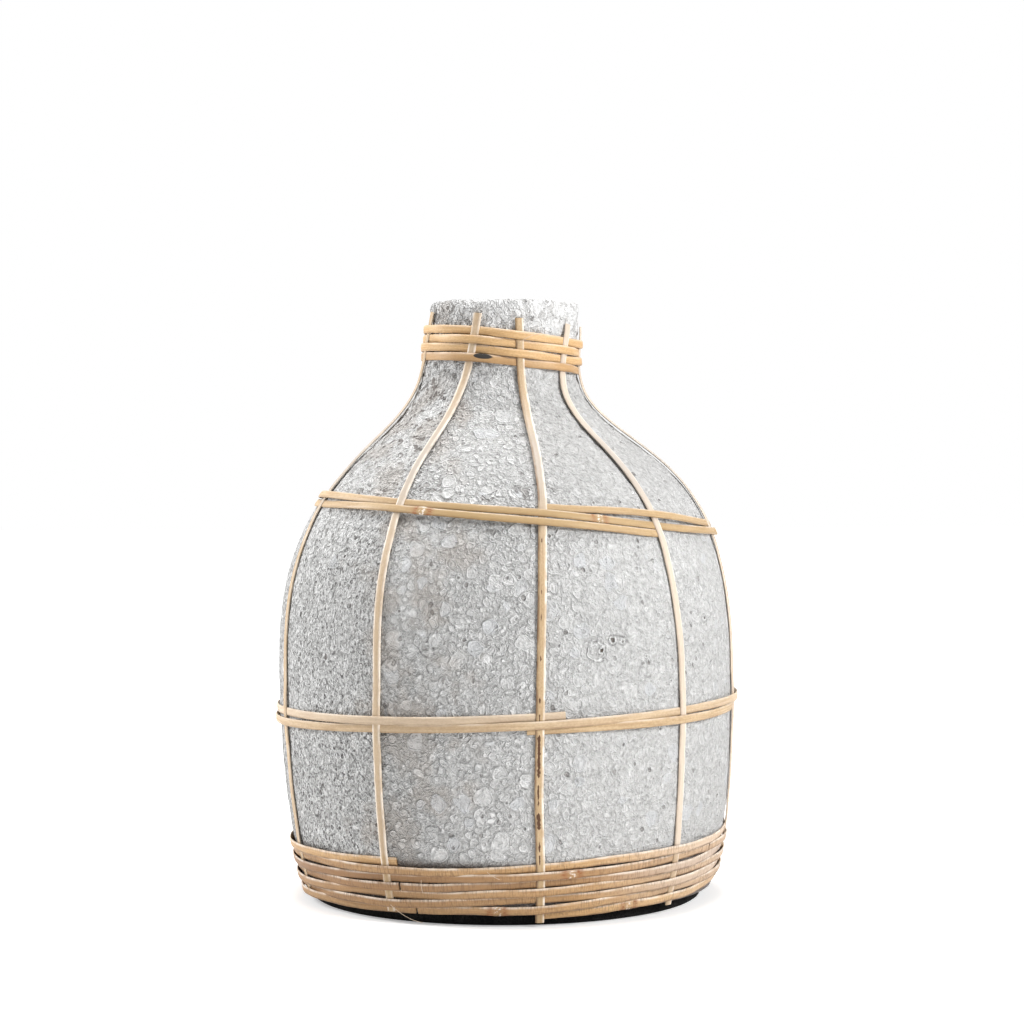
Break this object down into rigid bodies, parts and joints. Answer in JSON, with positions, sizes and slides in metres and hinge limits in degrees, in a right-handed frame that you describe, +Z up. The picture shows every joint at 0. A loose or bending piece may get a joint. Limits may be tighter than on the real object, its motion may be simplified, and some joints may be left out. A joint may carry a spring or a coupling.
{
  "type": "concrete vase",
  "caption": "Bottle-shaped rough concrete vase with a narrow neck, bound in a net of split-cane stakes and woven bands, standing on a felt pad.",
  "frame": {"origin": "centre of the felt pad's underside, on the surface that the vase stands on", "axes": "+Z up along the vessel's axis, -Y to the picture's camera side, +X to its right"},
  "size_m": [0.2327, 0.2333, 0.2925],
  "materials": {
    "concrete": "rough, pitted and bubbled",
    "cane": "bare split cane, satin",
    "woven_cane": "bare split cane, browner, with fine cross cracks",
    "felt": "matt black felt"
  },
  "bodies": {
    "root": {"vessel": "concrete", "felt_pad": "felt", "stake_1": "cane", "stake_2": "cane", "stake_3": "cane", "stake_4": "cane", "stake_5": "cane", "stake_6": "cane", "stake_7": "cane", "stake_8": "cane", "stake_9": "cane", "shoulder_band": "cane", "belly_band": "cane", "neck_weave": "woven_cane", "base_weave_1": "woven_cane", "base_weave_2": "woven_cane", "base_weave_3": "woven_cane", "base_weave_4": "woven_cane"}
  },
  "joints": []
}
